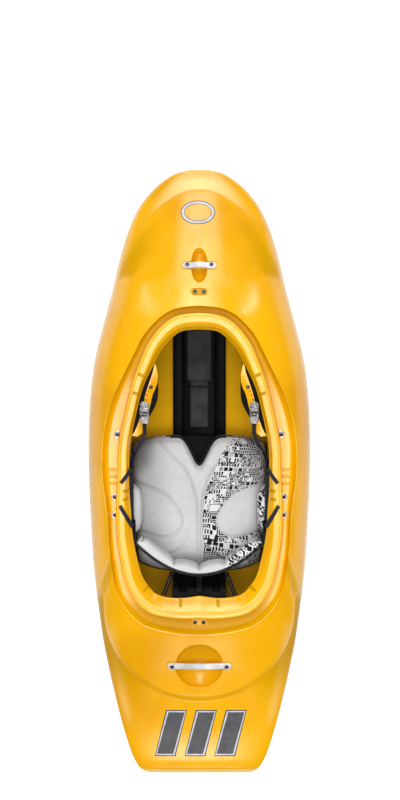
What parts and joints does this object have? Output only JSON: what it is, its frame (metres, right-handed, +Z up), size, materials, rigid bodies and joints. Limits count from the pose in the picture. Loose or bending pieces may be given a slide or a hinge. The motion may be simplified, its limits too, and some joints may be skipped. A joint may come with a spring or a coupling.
{
  "type": "whitewater playboat kayak",
  "caption": "Short whitewater kayak: a moulded hull with its cockpit rim, and a seat, back band, thigh braces, ratchets, pillars and grab handles fitted to it.",
  "frame": {"origin": "on the ground under the middle of the hull's length and width", "axes": "+Z up, +Y towards the bow, +X to the paddler's right"},
  "size_m": [0.6518, 1.78, 0.3441],
  "materials": {
    "hull_plastic": "glossy moulded polyethylene, amber yellow",
    "black_plastic": "satin black moulded plastic",
    "black_foam": "closed-cell foam, matt black",
    "grey_foam": "closed-cell foam, matt dark grey",
    "cushion_fabric": "stretch fabric over moulded foam, pale grey with a printed pattern",
    "webbing": "woven polyester webbing and elastic, dark grey",
    "cast_metal": "bright cast metal",
    "painted_bar": "white painted bar",
    "bolt_steel": "stainless steel, slightly blue"
  },
  "bodies": {
    "hull": {"hull_shell": "hull_plastic", "thigh_brace_left": "hull_plastic", "thigh_brace_right": "hull_plastic", "bow_handle": "painted_bar", "stern_handle": "painted_bar", "bow_handle_bolt_left": "bolt_steel", "bow_handle_bolt_right": "bolt_steel", "stern_handle_bolt_left": "bolt_steel", "stern_handle_bolt_right": "bolt_steel", "front_deck_bolt_left": "bolt_steel", "front_deck_bolt_right": "bolt_steel", "rear_deck_bolt_left": "bolt_steel", "rear_deck_bolt_right": "bolt_steel", "side_bolt_1_left": "bolt_steel", "side_bolt_1_right": "bolt_steel", "side_bolt_2_left": "bolt_steel", "side_bolt_2_right": "bolt_steel", "side_bolt_3_left": "bolt_steel", "side_bolt_3_right": "bolt_steel", "thigh_bolt_left": "bolt_steel", "thigh_bolt_right": "bolt_steel", "center_beam": "black_plastic", "seat_pan": "black_plastic", "upper_buckle_left": "black_plastic", "upper_buckle_right": "black_plastic", "lower_buckle_left": "black_plastic", "lower_buckle_right": "black_plastic", "front_pillar": "black_foam", "rear_pillar": "black_foam", "foot_block_left": "black_foam", "foot_block_right": "black_foam", "thigh_pad_left": "black_foam", "thigh_pad_right": "black_foam", "beam_pad": "grey_foam", "seat_pad": "cushion_fabric", "hip_pad_left": "cushion_fabric", "hip_pad_right": "cushion_fabric", "rear_pillar_strap": "webbing", "upper_tail_left": "webbing", "upper_tail_right": "webbing", "lower_tail_left": "webbing", "lower_tail_right": "webbing", "rear_loop_left": "webbing", "rear_loop_right": "webbing", "ratchet_base_left": "cast_metal", "ratchet_base_right": "cast_metal"},
    "backband": {"backband_pad": "cushion_fabric", "backband_shell": "black_plastic", "ladder_strap_left": "black_plastic", "ladder_strap_right": "black_plastic", "rear_loop_buckle_left": "black_plastic", "rear_loop_buckle_right": "black_plastic"},
    "ratchet_lever_left": {"ratchet_lever_left": "cast_metal"},
    "ratchet_release_left": {"ratchet_release_left": "cast_metal"},
    "ratchet_lever_right": {"ratchet_lever_right": "cast_metal"},
    "ratchet_release_right": {"ratchet_release_right": "cast_metal"}
  },
  "joints": [
    {"name": "backband_slide", "type": "slide", "parent": "hull", "child": "backband", "axis": [0, 0.993, 0.1185], "range_m": [0, 0.025], "deforming": ["rear_loop_left", "rear_loop_right"]},
    {"name": "ratchet_lever_hinge_left", "type": "hinge", "parent": "hull", "child": "ratchet_lever_left", "pos_m": [-0.15667, 0.1845, 0.30107], "axis": [1, 0, 0], "range_deg": [0, 90], "stiffness_Nm_per_rad": 0.01},
    {"name": "ratchet_release_hinge_left", "type": "hinge", "parent": "hull", "child": "ratchet_release_left", "pos_m": [-0.15667, 0.15997, 0.29562], "axis": [1, 0, 0], "range_deg": [0, 15], "stiffness_Nm_per_rad": 0.05},
    {"name": "ratchet_lever_hinge_right", "type": "hinge", "parent": "hull", "child": "ratchet_lever_right", "pos_m": [0.15667, 0.1845, 0.30107], "axis": [1, 0, 0], "range_deg": [0, 90], "stiffness_Nm_per_rad": 0.01},
    {"name": "ratchet_release_hinge_right", "type": "hinge", "parent": "hull", "child": "ratchet_release_right", "pos_m": [0.15667, 0.15997, 0.29562], "axis": [1, 0, 0], "range_deg": [0, 15], "stiffness_Nm_per_rad": 0.05}
  ]
}
